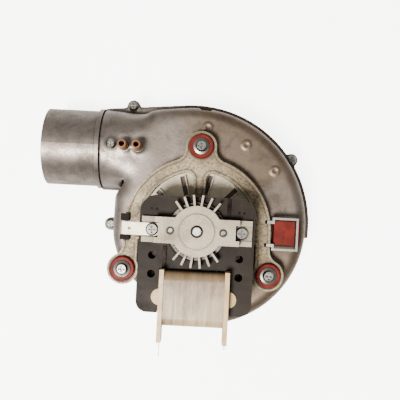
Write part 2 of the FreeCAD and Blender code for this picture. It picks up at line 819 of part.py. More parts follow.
def shaft_seal():
    bore = "shaft_radius + seal_bore_gap"
    node("shaft_seal", tube("seal_radius", bore, "seal_thickness", "0", "0",
                            "housing_depth - seal_thickness"))
    plate = tube("seal_plate_radius", "shaft_radius + 2 * seal_bore_gap",
                 "seal_plate_thickness", "0", "0", "housing_depth")
    holes = []
    rivets = []
    for side in (-1, 1):
        x = "%d * seal_rivet_offset" % side
        holes.append(cylinder("seal_rivet_radius + seat_clearance", "2 * front_wall", x, "0",
                              "housing_depth - front_wall"))
        rivets.append(cylinder("seal_rivet_radius", "front_wall / 2 + seal_plate_thickness",
                               x, "0", "housing_depth - front_wall / 2"))
    node("seal_plate", cut(plate, *holes))
    node("seal_rivets", group(*rivets))


back_shell()
front_shell()
housing_gasket()
housing_screws()
inlet_seal()
pressure_taps()
shaft_seal()


# ------------------------------------------------- three-point suspension
SPIDER_TOP = "spider_underside + spider_thickness"
BAR_ENDS = (-1, 1)


def spider_plate(name, inset, z, height):
    """Horseshoe, two legs, three bosses and the cross bar, in from the edge."""
    ring = tube("spider_outer_radius - (%s)" % inset, "spider_inner_radius + (%s)" % inset,
                height, "0", "0", z)
    upper = span_box("-" + SKY, SKY, "0", SKY, z, "%s + %s" % (z, height))
    pieces = [common(ring, upper)]
    leg_foot = "-mount_circle_radius / 2"
    for side in BAR_ENDS:
        outer = "%d * (spider_outer_radius - (%s))" % (side, inset)
        inner = "%d * (spider_inner_radius + (%s))" % (side, inset)
        ends = (outer, inner) if side < 0 else (inner, outer)
        pieces.append(span_box(ends[0], ends[1], leg_foot, "0", z, "%s + %s" % (z, height)))
    for angle in MOUNT_ANGLES:
        x, y = mount_spot(angle)
        pieces.append(cylinder("spider_boss_radius - (%s)" % inset, height, x, y, z))
    pieces.append(span_box("-spider_inner_radius - spider_rim - 1",
                           "spider_inner_radius + spider_rim + 1",
                           "-spider_bar_width / 2 + (%s)" % inset,
                           "spider_bar_width / 2 - (%s)" % inset, z, "%s + %s" % (z, height)))
    pieces.append(span_box("-spoke_width / 2 + (%s)" % inset, "spoke_width / 2 - (%s)" % inset,
                           "0", "mount_circle_radius", z, "%s + %s" % (z, height)))
    plate = fuse(*pieces)
    shift = value(inset) if inset in ALIASES else 0
    circle = value("mount_circle_radius")
    boss = value("spider_boss_radius") - shift
    outside = value("spider_outer_radius") - shift

    def hollow_corner(edge, middle):
        if not upright(edge):
            return False
        for angle in MOUNT_ANGLES:
            turn = math.radians(angle)
            away = math.hypot(middle.x - circle * math.cos(turn),
                              middle.y - circle * math.sin(turn))
            if near(away, boss):
                return angle == 90 and middle.y > 0 or near(abs(middle.x), outside)
        return False

    half_spoke = value("spoke_width") / 2 - shift
    ring_inside = value("spider_inner_radius") + shift

    def window_corner(edge, middle):
        return (upright(edge) and near(abs(middle.x), half_spoke)
                and near(math.hypot(middle.x, middle.y), ring_inside))

    plate = round_edges(plate, hollow_corner, value("spider_fillet") + shift)
    return round_edges(plate, window_corner, value("spoke_fillet") + shift)


def spider_bracket():
    """Die-cast three-point bracket with the rear bearing in its hub."""
    plate = spider_plate("spider", "0", "spider_underside", "spider_thickness")
    crest = spider_plate("spider_crest", "0", SPIDER_TOP, "spider_rim_height")
    tray = spider_plate("spider_tray", "spider_rim", SPIDER_TOP, "spider_rim_height + 1")
    hub = cylinder("spider_hub_radius", "spider_hub_top - spider_hub_underside", "0", "0",
                   "spider_hub_underside")
    pads = [cylinder("spacer_radius + 1", "spider_rim_height", "%d * motor_screw_offset" % side,
                     "0", SPIDER_TOP) for side in BAR_ENDS]
    body = fuse(plate, cut(crest, tray), hub, *pads)
    holes = []
    for angle in MOUNT_ANGLES:
        x, y = mount_spot(angle)
        holes.append(cylinder("grommet_waist + grommet_clearance", "3 * spider_thickness", x, y,
                              "spider_underside - spider_thickness"))
    for side in BAR_ENDS:
        holes.append(cylinder("motor_screw_radius + thread_clearance", "3 * spider_thickness",
                              "%d * motor_screw_offset" % side, "0",
                              "spider_underside - spider_thickness"))
        for row in (-1, 1):
            near_x = "spider_outer_radius + 0.6 - slot_length"
            far_x = "spider_outer_radius + 1"
            ends = (near_x, far_x) if side > 0 else ("-(%s)" % far_x, "-(%s)" % near_x)
            middle = "%d * slot_offset" % row
            holes.append(span_box(ends[0], ends[1], middle + " - slot_width / 2",
                                  middle + " + slot_width / 2", "spider_underside - 1",
                                  SPIDER_TOP + " + spider_rim_height + 1"))
    holes.append(bush_pocket("spider_hub_underside + thrust_gap", -1))
    return node("spider_bracket", cut(body, *holes))


def bush_pocket(inner_end, side):
    """Seat of a bearing bush with its oil felt, open towards the rotor."""
    start = inner_end if side > 0 else inner_end
    seat = cylinder("bush_radius + seat_clearance", "2 * bush_length", "0", "0", start)
    felt_start = "%s + (bush_length - felt_height) / 2" % start
    felt = cylinder("bush_radius + felt_width", "felt_height", "0", "0", felt_start)
    eye = cylinder("bracket_eye_radius", "4 * bush_length", "0", "0", "%s - bush_length" % start)
    return fuse(seat, felt, eye)


def bush(name, start):
    """Crowned sintered bush with its running bore."""
    body = revolve(name.title().replace("_", ""), (
        ("shaft_radius + bearing_clearance", "0"), ("bush_radius - bush_crown", "0"),
        ("bush_radius", "bush_crown"), ("bush_radius", "bush_length - bush_crown"),
        ("bush_radius - bush_crown", "bush_length"),
        ("shaft_radius + bearing_clearance", "bush_length")), z=start)
    node(name, body)
    return tube("bush_radius + felt_width - seat_clearance", "bush_radius + seat_clearance",
                "felt_height", "0", "0", "%s + (bush_length - felt_height) / 2" % start)


REAR_BUSH = "spider_hub_underside + thrust_gap"
STACK_FRONT = "stack_back + stack_thickness"
FRONT_BUSH = "bracket_face + bracket_boss_lip - bracket_boss_lip - 0.4 - bush_length"


def grommets():
    """Silicone grommets, steel sleeves and flanged screws of the suspension."""
    total = "spider_thickness + spider_rim_height + grommet_overhang"
    height = "grommet_overhang - (spider_underside - (%s)) + (%s)" % (POST_TOP, total)
    rubber = revolve("Grommet", (
        ("sleeve_radius + grommet_clearance", "0"), ("grommet_radius", "0"),
        ("grommet_radius", "spider_underside - (%s) - grommet_clearance" % POST_TOP),
        ("grommet_waist", "spider_underside - (%s) - grommet_clearance" % POST_TOP),
        ("grommet_waist", "spider_underside - (%s) + spider_thickness + grommet_clearance"
         % POST_TOP),
        ("grommet_radius", "spider_underside - (%s) + spider_thickness + grommet_clearance"
         % POST_TOP),
        ("grommet_radius", "spider_underside - (%s) + (%s) - 0.8" % (POST_TOP, total)),
        ("grommet_radius - 0.8", "spider_underside - (%s) + (%s)" % (POST_TOP, total)),
        ("sleeve_radius + grommet_clearance", "spider_underside - (%s) + (%s)"
         % (POST_TOP, total))))
    sleeve_height = "spider_underside - (%s) + (%s)" % (POST_TOP, total)
    sleeve = tube("sleeve_radius", "sleeve_radius - sleeve_wall", sleeve_height)
    head = revolve("MountScrewHead", (
        ("0", "0"), ("mount_screw_flange", "0"),
        ("mount_screw_flange", "mount_screw_flange_height"),
        ("mount_screw_dome", "mount_screw_flange_height + 0.4"),
        ("mount_screw_dome * 0.72", "mount_screw_flange_height + mount_screw_dome_height"),
        ("0", "mount_screw_flange_height + mount_screw_dome_height")))
    blade = "mount_screw_dome * 1.1"
    cross = [box(blade, "1.1", "mount_screw_dome_height", "-(%s) / 2" % blade, "-0.55",
                 "mount_screw_flange_height + 0.5"),
             box("1.1", blade, "mount_screw_dome_height", "-0.55", "-(%s) / 2" % blade,
                 "mount_screw_flange_height + 0.5")]
    shank_length = "mount_screw_grip - 0.5 + (%s)" % sleeve_height
    shank = cylinder("mount_screw_radius", shank_length, "0", "0", "-(%s)" % shank_length)
    screw = fuse(cut(head, *cross), shank)
    for number, angle in enumerate(MOUNT_ANGLES, start=1):
        x, y = mount_spot(angle)
        node("grommet_%d" % number, group(copy_at(rubber, x, y, POST_TOP)))
    spots = [mount_spot(angle) for angle in MOUNT_ANGLES]
    node("grommet_sleeves", group(*[copy_at(sleeve, x, y, POST_TOP) for x, y in spots]))
    top = "%s + %s" % (POST_TOP, sleeve_height)
    node("grommet_screws", group(*[copy_at(screw, x, y, top) for x, y in spots]))


# -------------------------------------------------------------------- motor
def stator_stack():
    """Shaded-pole lamination stack: bore, two columns and an open window."""
    block = span_box("-stack_half_width", "stack_half_width", "-stack_bottom", "stack_top",
                     "stack_back", STACK_FRONT)
    window = span_box("-window_half_width", "window_half_width", "-stack_bottom - 1",
                      "-window_top", "stack_back - 1", STACK_FRONT + " + 1")
    frame = cut(block, window)
    half_width, top, bottom = value("stack_half_width"), value("stack_top"), value("stack_bottom")

    def top_corner(edge, middle):
        return upright(edge) and near(abs(middle.x), half_width) and near(middle.y, top)

    def bottom_corner(edge, middle):
        return upright(edge) and near(abs(middle.x), half_width) and near(middle.y, -bottom)

    frame = round_edges(frame, top_corner, value("stack_top_round"))
    frame = round_edges(frame, bottom_corner, value("stack_bottom_round"))
    tall = "stack_thickness + 2"
    low = "stack_back - 1"
    holes = [cylinder("rotor_radius + air_gap", tall, "0", "0", low)]
    for side in BAR_ENDS:
        for y in ("-stack_hole_upper", "-stack_hole_lower"):
            holes.append(cylinder("stack_hole_radius", tall, "%d * stack_hole_offset" % side,
                                  y, low))
        holes.append(cylinder("motor_screw_radius + screw_clearance", tall,
                              "%d * motor_screw_offset" % side, "0", low))
        for start, end in (("shading_start - 0.05", "shading_start + shading_thickness + 0.05"),
                           ("shading_end - shading_thickness - 0.05", "shading_end + 0.05")):
            slot = span_box("shading_offset - 0.05", "shading_offset + shading_width + 0.05",
                            start, end, low, "stack_back + %s" % tall)
            holes.append(slot if side > 0 else copy_at(slot, turn=180))
    return node("stator_stack", cut(frame, *holes))


def shading_rings():
    """Two copper shading loops through the pole tips."""
    loop = cut(span_box("shading_offset", "shading_offset + shading_width", "shading_start",
                        "shading_end", "stack_back - shading_thickness",
                        STACK_FRONT + " + shading_thickness"),
               span_box("shading_offset - 1", "shading_offset + shading_width + 1",
                        "shading_start + shading_thickness", "shading_end - shading_thickness",
                        "stack_back", STACK_FRONT))
    node("shading_rings", group(copy_at(loop), copy_at(loop, turn=180)))


def coil_core():
    node("coil_core", span_box("-window_half_width", "window_half_width", "-core_leg_low",
                               "-core_leg_high", "stack_back", STACK_FRONT))


COIL_MIDDLE = "stack_back + stack_thickness / 2"


def coil_block(half_length, grow, corner):
    """A block wound about the X axis, its long edges rounded."""
    block = span_box("-(%s)" % half_length, half_length, "-coil_low - (%s)" % grow,
                     "-coil_high + (%s)" % grow,
                     "%s - coil_half_depth - (%s)" % (COIL_MIDDLE, grow),
                     "%s + coil_half_depth + (%s)" % (COIL_MIDDLE, grow))

    def lengthwise(edge, middle):
        return edge.BoundBox.YLength + edge.BoundBox.ZLength < 1e-4

    return round_edges(block, lengthwise, corner)


def bobbin_and_coil():
    """Moulded bobbin on the core leg, copper winding and its tape wrap."""
    fit = "bobbin_fit"
    leg = span_box("-stack_half_width", "stack_half_width",
                   "-core_leg_low - (%s)" % fit, "-core_leg_high + (%s)" % fit,
                   "stack_back - (%s)" % fit, "%s + %s" % (STACK_FRONT, fit))
    around = "(%s + bobbin_tube_wall)" % fit
    sleeve = span_box("-coil_half_length", "coil_half_length", "-core_leg_low - " + around,
                      "-core_leg_high + " + around, "stack_back - " + around,
                      "%s + %s" % (STACK_FRONT, around))
    pieces = [sleeve]
    outer_x = "coil_half_length + bobbin_flange_thickness"
    flange_high = "-coil_high + bobbin_flange_lip"
    for side in BAR_ENDS:
        ends = ("coil_half_length", outer_x)
        if side < 0:
            ends = ("-(%s)" % outer_x, "-coil_half_length")
        pieces.append(span_box(ends[0], ends[1], "-coil_low - bobbin_flange_lip", flange_high,
                               "%s - coil_half_depth - bobbin_flange_lip" % COIL_MIDDLE,
                               "%s + coil_half_depth + bobbin_flange_lip" % COIL_MIDDLE))
        top = "%s + coil_half_depth + bobbin_flange_lip" % COIL_MIDDLE
        pieces.append(span_box(ends[0], ends[1], "-holder_reach", "-coil_low",
                               top + " - holder_depth", top))
        disc = cylinder("bobbin_ear_radius", "bobbin_ear_thickness", "%d * (%s)" % (side, outer_x),
                        "-(core_leg_low + core_leg_high) / 2", STACK_FRONT + " + 0.1")
        outside = span_box(*(("coil_half_length", "stack_half_width") if side > 0 else
                             ("-stack_half_width", "-coil_half_length")),
                           "-coil_low", "-coil_high", "stack_back", "2 * stack_back")
        pieces.append(common(disc, outside))
    slots = []
    for side in BAR_ENDS:
        slots.append(blade_box(side, "0.02"))
    node("bobbin", cut(fuse(*pieces), leg, *slots))
    gap = "(%s + 0.05)" % around
    well = span_box("-stack_half_width", "stack_half_width", "-core_leg_low - " + gap,
                    "-core_leg_high + " + gap, "stack_back - " + gap,
                    "%s + %s" % (STACK_FRONT, gap))
    end_gap = "coil_half_length - 0.05"
    corner = value("coil_corner")
    tape_in = coil_block(end_gap, "0 - tape_thickness", corner - value("tape_thickness"))
    node("winding", cut(tape_in, well))
    wrap = coil_block(end_gap, "0", corner)
    bore = coil_block("stack_half_width", "0 - tape_thickness",
                      corner - value("tape_thickness"))
    node("winding_tape", cut(wrap, bore))


def blade_box(side, grow):
    """The space of one blade terminal in its holder, grown all round."""
    middle = "%d * (coil_half_length + bobbin_flange_thickness / 2)" % side
    reach = "blade_reach_left" if side < 0 else "blade_reach_right"
    top = "%s + coil_half_depth + bobbin_flange_lip - 2" % COIL_MIDDLE
    return span_box("%s - blade_thickness / 2 - %s" % (middle, grow),
                    "%s + blade_thickness / 2 + %s" % (middle, grow),
                    "-%s - %s" % (reach, grow), "-blade_root + %s" % grow,
                    "%s - blade_width - %s" % (top, grow), "%s + %s" % (top, grow))


def front_bracket():
    """Cast front bearing bracket: disc, cooling fins, strap and two feet."""
    under = "bracket_face - bracket_thickness"
    disc = cylinder("bracket_disc_radius", "bracket_thickness", "0", "0", under)
    boss = cylinder("bracket_boss_radius", "bracket_thickness + bracket_boss_lip", "0", "0",
                    under)
    nose = cylinder("bracket_nose_radius", "bracket_face - (%s)" % FRONT_BUSH, "0", "0",
                    FRONT_BUSH)
    strap = span_box("-bracket_step", "bracket_step", "-bracket_half_height",
                     "bracket_half_height", under, "bracket_face")
    pieces = [disc, boss, nose, strap]
    floor = STACK_FRONT + " + foot_height"
    for side in BAR_ENDS:
        inner = "bracket_recess_start - bracket_thickness / 4"
        web = (inner, "bracket_step")
        foot = ("bracket_recess_start - bracket_thickness / 4", "bracket_reach")
        if side < 0:
            web = ("-bracket_step", "-(%s)" % inner)
            foot = ("-bracket_reach", "-(%s)" % foot[0])
        pieces.append(span_box(web[0], web[1], "-bracket_half_height", "bracket_half_height",
                               STACK_FRONT, "bracket_face"))
        pieces.append(span_box(foot[0], foot[1], "-bracket_half_height", "bracket_half_height",
                               STACK_FRONT, floor + " + foot_rail"))
    first = 90 - (value("fin_count") - 1) * value("fin_pitch") / 2
    for half in (0, 180):
        for index in range(int(value("fin_count"))):
            blade = box("fin_tip_radius - fin_root_radius", "fin_width", "fin_height",
                        "fin_root_radius", "-fin_width / 2",
                        "bracket_face - fin_drop - fin_height")
            pieces.append(copy_at(blade, turn=half + first + index * value("fin_pitch")))
    tools = [bush_seat_front()]
    for side in BAR_ENDS:
        recess = ("bracket_recess_start", "bracket_reach + 1")
        if side < 0:
            recess = ("-bracket_reach - 1", "-bracket_recess_start")
        tools.append(span_box(recess[0], recess[1], "-bracket_recess_half",
                              "bracket_recess_half", floor, "2 * bracket_face"))
        tools.append(cylinder("motor_screw_radius + screw_clearance", "stack_thickness",
                              "%d * motor_screw_offset" % side, "0", STACK_FRONT + " - 1"))
        x = "%d * rivet_offset" % side
        tools.append(cylinder("rivet_recess_radius", "2 * rivet_recess_depth", x, "0",
                              "bracket_face - rivet_recess_depth"))
        tools.append(cylinder("rivet_radius + seat_clearance", "2 * bracket_thickness", x, "0",
                              under + " - 1"))
    return node("front_bearing_bracket", cut(fuse(*pieces), *tools))


def bush_seat_front():
    seat = cylinder("bush_radius + seat_clearance", "bush_length", "0", "0", FRONT_BUSH)
    mouth = cylinder("bush_radius + seat_clearance", "1", "0", "0", FRONT_BUSH + " - 1")
    felt = cylinder("bush_radius + felt_width", "felt_height", "0", "0",
                    "%s + (bush_length - felt_height) / 2" % FRONT_BUSH)
    eye = cylinder("bracket_eye_radius", "4 * bush_length", "0", "0", FRONT_BUSH)
    return fuse(seat, mouth, felt, eye)


def bearing_keeper():
    """Sprung keeper strip riveted under the strap, around the bearing nose."""
    under = "bracket_face - bracket_thickness"
    strip = span_box("-keeper_reach", "keeper_reach", "-keeper_half_width",
                     "keeper_half_width", under + " - keeper_thickness", under)
    collar = cylinder("bracket_nose_radius + keeper_land", "keeper_thickness", "0", "0",
                      under + " - keeper_thickness")
    holes = [cylinder("bracket_nose_radius + 0.1", "2 * keeper_thickness", "0", "0",
                      under + " - 1.5 * keeper_thickness")]
    rivets = []
    for side in BAR_ENDS:
        x = "%d * rivet_offset" % side
        holes.append(cylinder("rivet_radius + seat_clearance", "2 * keeper_thickness", x, "0",
                              under + " - 1.5 * keeper_thickness"))
        shank = "bracket_thickness + keeper_thickness - rivet_recess_depth / 2"
        rivets.append(copy_at(revolve("Rivet" + ("Right" if side > 0 else "Left"), (
            ("0", "0"), ("rivet_radius", "0"), ("rivet_radius", shank + " - 0.5"),
            ("rivet_radius * 0.6", shank), ("0", shank))), x, "0",
            under + " - keeper_thickness"))
    node("bearing_keeper", cut(fuse(strip, collar), *holes))
    node("keeper_rivets", group(*rivets))


def earth_tab():
    """Earth blade clamped by the left motor screw."""
    floor = STACK_FRONT + " + foot_height"
    blade = span_box("-earth_tab_tip", "-earth_tab_root", "-earth_tab_width / 2",
                     "earth_tab_width / 2", floor, floor + " + earth_tab_thickness")
    holes = [cylinder("motor_screw_radius + screw_clearance", "4 * earth_tab_thickness",
                      "-motor_screw_offset", "0", floor + " - 1"),
             cylinder("earth_tab_hole", "4 * earth_tab_thickness",
                      "-earth_tab_tip + earth_tab_width * 0.6", "0", floor + " - 1")]
    node("earth_tab", cut(blade, *holes))


def motor_screws():
    """Two long screws through bracket, stack and spacers into the spider."""
    floor = STACK_FRONT + " + foot_height"
    for side, name, seat in ((-1, "left", floor + " + earth_tab_thickness"),
                             (1, "right", floor)):
        start = "spider_underside + 1"
        head = revolve("MotorScrewHead" + name.title(), (
            ("0", "0"), ("motor_screw_head", "0"),
            ("motor_screw_head", "motor_screw_head_height * 0.55"),
            ("motor_screw_head * 0.8", "motor_screw_head_height"),
            ("0", "motor_screw_head_height")))
        blade = "motor_screw_head * 1.15"
        cross = [box(blade, "0.9", "2", "-(%s) / 2" % blade, "-0.45",
                     "motor_screw_head_height - 1.2"),
                 box("0.9", blade, "2", "-0.45", "-(%s) / 2" % blade,
                     "motor_screw_head_height - 1.2")]
        length = "(%s) - (%s)" % (seat, start)
        shank = cylinder("motor_screw_radius", length, "0", "0", "-(%s)" % length)
        screw = fuse(cut(head, *cross), shank)
        node("motor_screw_" + name,
             group(copy_at(screw, "%d * motor_screw_offset" % side, "0", seat)))


def stator_spacers():
    start = SPIDER_TOP + " + spider_rim_height"
    node("stator_spacers", group(*[
        tube("spacer_radius", "motor_screw_radius + screw_clearance", "stack_back - (%s)" % start,
             "%d * motor_screw_offset" % side, "0", start) for side in BAR_ENDS]))


spider_bracket()
node("rear_bearing_felt", bush("rear_bearing", REAR_BUSH))
node("front_bearing_felt", bush("front_bearing", FRONT_BUSH))
grommets()
stator_stack()
shading_rings()
coil_core()
bobbin_and_coil()
for blade_side, blade_name in ((-1, "left"), (1, "right")):
    node("terminal_blade_" + blade_name, blade_box(blade_side, "0"))
front_bracket()
bearing_keeper()
earth_tab()
motor_screws()
stator_spacers()


# ------------------------------------------------- rotating assembly
def shaft():
    """Ground shaft with chamfered ends."""
    length = "shaft_top - shaft_bottom"
    node("shaft", revolve("Shaft", (
        ("0", "0"), ("shaft_radius - 0.5", "0"), ("shaft_radius", "0.5"),
        ("shaft_radius", length + " - 0.4"), ("shaft_radius - 0.4", length),
        ("0", length)), z="shaft_bottom"))


SEAT = "shaft_radius + seat_clearance"


def rotor():
    """Squirrel-cage rotor: laminated core, cast end rings with front nubs."""
    node("rotor_core", tube("rotor_radius", SEAT, "stack_thickness", "0", "0", "stack_back"))
    front = tube("end_ring_outer", "end_ring_inner", "end_ring_height", "0", "0", STACK_FRONT)
    rear = tube("end_ring_outer", "end_ring_inner", "end_ring_height", "0", "0",
                "stack_back - end_ring_height")
    nubs = []
    for index in range(12):
        nub = box("2.2", "1.6", "nub_height + 0.5", "end_ring_outer - 2.6", "-0.8",
                  STACK_FRONT + " + end_ring_height - 0.5")
        nubs.append(copy_at(nub, turn=30 * index + 7.5))
    node("rotor_end_rings", group(fuse(front, *nubs), rear))


def thrust_washers():
    front_gap = "(%s) - (%s) - thrust_gap" % (FRONT_BUSH, STACK_FRONT)
    node("front_thrust_washer", tube("thrust_radius", SEAT, front_gap, "0", "0", STACK_FRONT))
    rear_end = "(%s) + bush_length + thrust_gap" % REAR_BUSH
    node("rear_thrust_washer", tube("thrust_radius", SEAT, "stack_back - (%s)" % rear_end,
                                    "0", "0", rear_end))


def cooling_disc():
    """Sheet disc with lanced and bent-up blades, on a pressed hub."""
    top = "fan_disc_height + fan_disc_thickness"
    disc = tube("fan_disc_radius", "fan_hub_radius - 1", "fan_disc_thickness", "0", "0",
                "fan_disc_height")
    blades = []
    slots = []
    count = int(value("fan_blade_count"))
    for index in range(count):
        turn = 360 / count * (index + 0.5)
        blade = box("fan_blade_outer - fan_blade_inner", "fan_disc_thickness",
                    "fan_blade_height + fan_disc_thickness", "fan_blade_inner",
                    "0", "fan_disc_height")
        slot = box("fan_blade_outer - fan_blade_inner", "fan_slot_width",
                   "4 * fan_disc_thickness", "fan_blade_inner", "fan_disc_thickness",
                   "fan_disc_height - fan_disc_thickness")
        blades.append(copy_at(blade, turn=turn))
        slots.append(copy_at(slot, turn=turn))
    node("cooling_disc", cut(fuse(disc, *blades), *slots))
    low = tube("fan_hub_radius - 1 - seat_clearance", SEAT, "fan_disc_thickness", "0", "0",
               "fan_disc_height")
    high = tube("fan_hub_radius", SEAT, "fan_hub_height - fan_disc_thickness", "0", "0", top)
    node("cooling_disc_hub", fuse(low, high))


def wheel():
    """Radial wheel: back plate, hub, curved blades and inlet ring."""
    node("wheel_back_plate", tube("wheel_radius", "wheel_hub_radius - 2",
                                  "wheel_sheet", "0", "0", "wheel_back"))
    low = tube("wheel_hub_radius", SEAT, "wheel_hub_height", "0", "0",
               "wheel_back - wheel_hub_height")
    high = tube("wheel_hub_radius - 2 - seat_clearance", SEAT, "wheel_sheet + 1", "0", "0",
                "wheel_back")
    node("wheel_hub", fuse(low, high))
    node("wheel_inlet_ring", tube("wheel_radius", "wheel_eye_radius", "wheel_sheet", "0", "0",
                                  "wheel_front"))
    start = "wheel_front + wheel_sheet"
    nut = tube("wheel_nut_radius", SEAT, "wheel_nut_height", "0", "0",
               "wheel_back - wheel_hub_height - wheel_nut_height")
    flats = doc.addObject("Part::Prism", "NutFlats")
    flats.Polygon = 6
    bind(flats, "Circumradius", "wheel_nut_radius")
    bind(flats, "Height", "3 * wheel_nut_height")
    place(flats, z="wheel_back - wheel_hub_height - 2 * wheel_nut_height")
    node("wheel_nut", common(nut, flats))
    inner = value("wheel_blade_inner")
    outer = value("wheel_radius") - value("wheel_blade_margin")
    lean = math.radians(value("wheel_blade_lean"))
    chord = Vector(outer - inner, (outer - inner) * math.tan(lean) / 2, 0)
    first = Vector(inner, 0, 0)
    last = first + chord
    side = Vector(-chord.y, chord.x, 0).normalize()
    middle = first + chord / 2 - side * (chord.Length / 7)
    thick = side * value("wheel_blade_thickness")
    face = Part.Face(Part.Wire([
        Part.Arc(first, middle, last).toShape(),
        Part.LineSegment(last, last + thick).toShape(),
        Part.Arc(last + thick, middle + thick, first + thick).toShape(),
        Part.LineSegment(first + thick, first).toShape()]))
    master = doc.addObject("Part::Feature", "WheelBlade")
    master.Shape = face.extrude(Vector(0, 0, value("wheel_back") - value("wheel_front")
                                       - value("wheel_sheet")))
    count = int(value("wheel_blade_count"))
    node("wheel_blades", group(*[copy_at(master, z=start, turn=360 / count * index)
                                 for index in range(count)]))


shaft()
rotor()
thrust_washers()
cooling_disc()
wheel()


# -------------------------------------------------- cable clip and sleeve
def cable_clip():
    """Bent sheet clip hooked into the bracket's slots, over a silicone pad."""
    low = SPIDER_TOP + " - clip_height / 2"
    high = SPIDER_TOP + " + clip_height / 2"
    outside = span_box("clip_inner", "clip_outer", "-clip_half_width", "clip_half_width",
                       low, high)
    inside = span_box("clip_inner - 1", "clip_outer - clip_sheet",
                      "-clip_half_width + clip_sheet", "clip_half_width - clip_sheet",
                      low + " - 1", high + " + 1")
    pieces = [cut(outside, inside)]
    for row in (-1, 1):
        edge = "%d * (clip_half_width - clip_sheet / 2)" % row
        middle = "%d * slot_offset" % row
        ends = (edge + " - clip_sheet / 2", edge + " + clip_sheet / 2")
        pieces.append(span_box("clip_inner", "clip_inner + clip_sheet",
                               middle + " - slot_width / 2 + 0.2" if row > 0 else ends[0],
                               ends[1] if row > 0 else middle + " + slot_width / 2 - 0.2",
                               low, high))
        pieces.append(span_box("clip_inner - clip_prong", "clip_inner + clip_sheet",
                               middle + " - slot_width / 2 + 0.2",
                               middle + " + slot_width / 2 - 0.2",
                               SPIDER_TOP + " - spider_thickness / 2",
                               SPIDER_TOP + " + spider_rim_height"))
    node("cable_clip", fuse(*pieces))
    block = span_box("sleeve_pad_inner", "clip_outer - clip_sheet - 0.3", "-sleeve_pad_low",
                     "sleeve_pad_high", "housing_depth", "sleeve_pad_top")
    lip = span_box("sleeve_pad_inner", "sleeve_pad_outer", "-sleeve_pad_low",
                   "sleeve_pad_high - 1", "housing_depth", "sleeve_pad_lip_top")
    node("cable_sleeve", fuse(block, lip))


cable_clip()


# ----------------------------------------------------------- check and write
doc.recompute()
failed = [obj.Name for obj in doc.Objects
          if "Invalid" in obj.State or "Error" in obj.State]
if failed:
    raise RuntimeError("failed objects: " + ", ".join(failed))
for obj in NODES:
    if obj.Shape.isNull() or not obj.Shape.isValid() or not obj.Shape.Solids:
        raise RuntimeError("bad shape: " + obj.Label)
os.makedirs("parts", exist_ok=True)
for obj in NODES:
    obj.Shape.exportStep("parts/%s.step" % obj.Label)
    print(obj.Label, len(obj.Shape.Solids), round(obj.Shape.Volume, 1))
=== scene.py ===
import json

import bmesh
import bpy
import numpy as np
from mathutils import Euler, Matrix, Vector


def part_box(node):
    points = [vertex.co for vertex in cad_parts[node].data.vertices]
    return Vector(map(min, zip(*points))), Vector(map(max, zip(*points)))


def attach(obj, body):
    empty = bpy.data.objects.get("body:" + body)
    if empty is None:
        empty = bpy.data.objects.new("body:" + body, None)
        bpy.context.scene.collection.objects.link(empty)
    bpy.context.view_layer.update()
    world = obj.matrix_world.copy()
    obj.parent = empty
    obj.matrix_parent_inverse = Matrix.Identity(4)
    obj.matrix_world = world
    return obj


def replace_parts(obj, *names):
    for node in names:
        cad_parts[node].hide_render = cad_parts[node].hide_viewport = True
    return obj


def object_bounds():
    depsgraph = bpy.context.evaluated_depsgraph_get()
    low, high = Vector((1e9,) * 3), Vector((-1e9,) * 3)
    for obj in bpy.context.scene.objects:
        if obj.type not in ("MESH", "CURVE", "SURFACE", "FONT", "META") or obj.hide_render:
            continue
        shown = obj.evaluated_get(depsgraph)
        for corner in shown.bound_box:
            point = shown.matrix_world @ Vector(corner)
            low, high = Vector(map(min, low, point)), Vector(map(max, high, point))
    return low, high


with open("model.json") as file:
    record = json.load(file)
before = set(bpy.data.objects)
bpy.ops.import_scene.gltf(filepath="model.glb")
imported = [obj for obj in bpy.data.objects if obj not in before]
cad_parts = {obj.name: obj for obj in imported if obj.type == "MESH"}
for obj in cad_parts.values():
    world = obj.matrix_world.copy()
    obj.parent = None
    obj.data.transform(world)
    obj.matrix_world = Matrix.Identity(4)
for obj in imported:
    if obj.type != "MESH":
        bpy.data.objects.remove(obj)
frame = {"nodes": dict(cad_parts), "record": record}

cad_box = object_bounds()
NODES = frame["nodes"]
MM = 0.001


# ------------------------------------------------------------ node helpers
def linear(code):
    """An sRGB hex colour as linear RGBA."""
    parts = [int(code[i:i + 2], 16) / 255 for i in (1, 3, 5)]
    return tuple(c / 12.92 if c <= 0.04045 else ((c + 0.055) / 1.055) ** 2.4
                 for c in parts) + (1.0,)


def shade(code, share, lift=0.0):
    """A hex colour's linear RGBA, scaled and then lifted."""
    return tuple(min(1.0, share * c + lift) for c in linear(code)[:3]) + (1.0,)


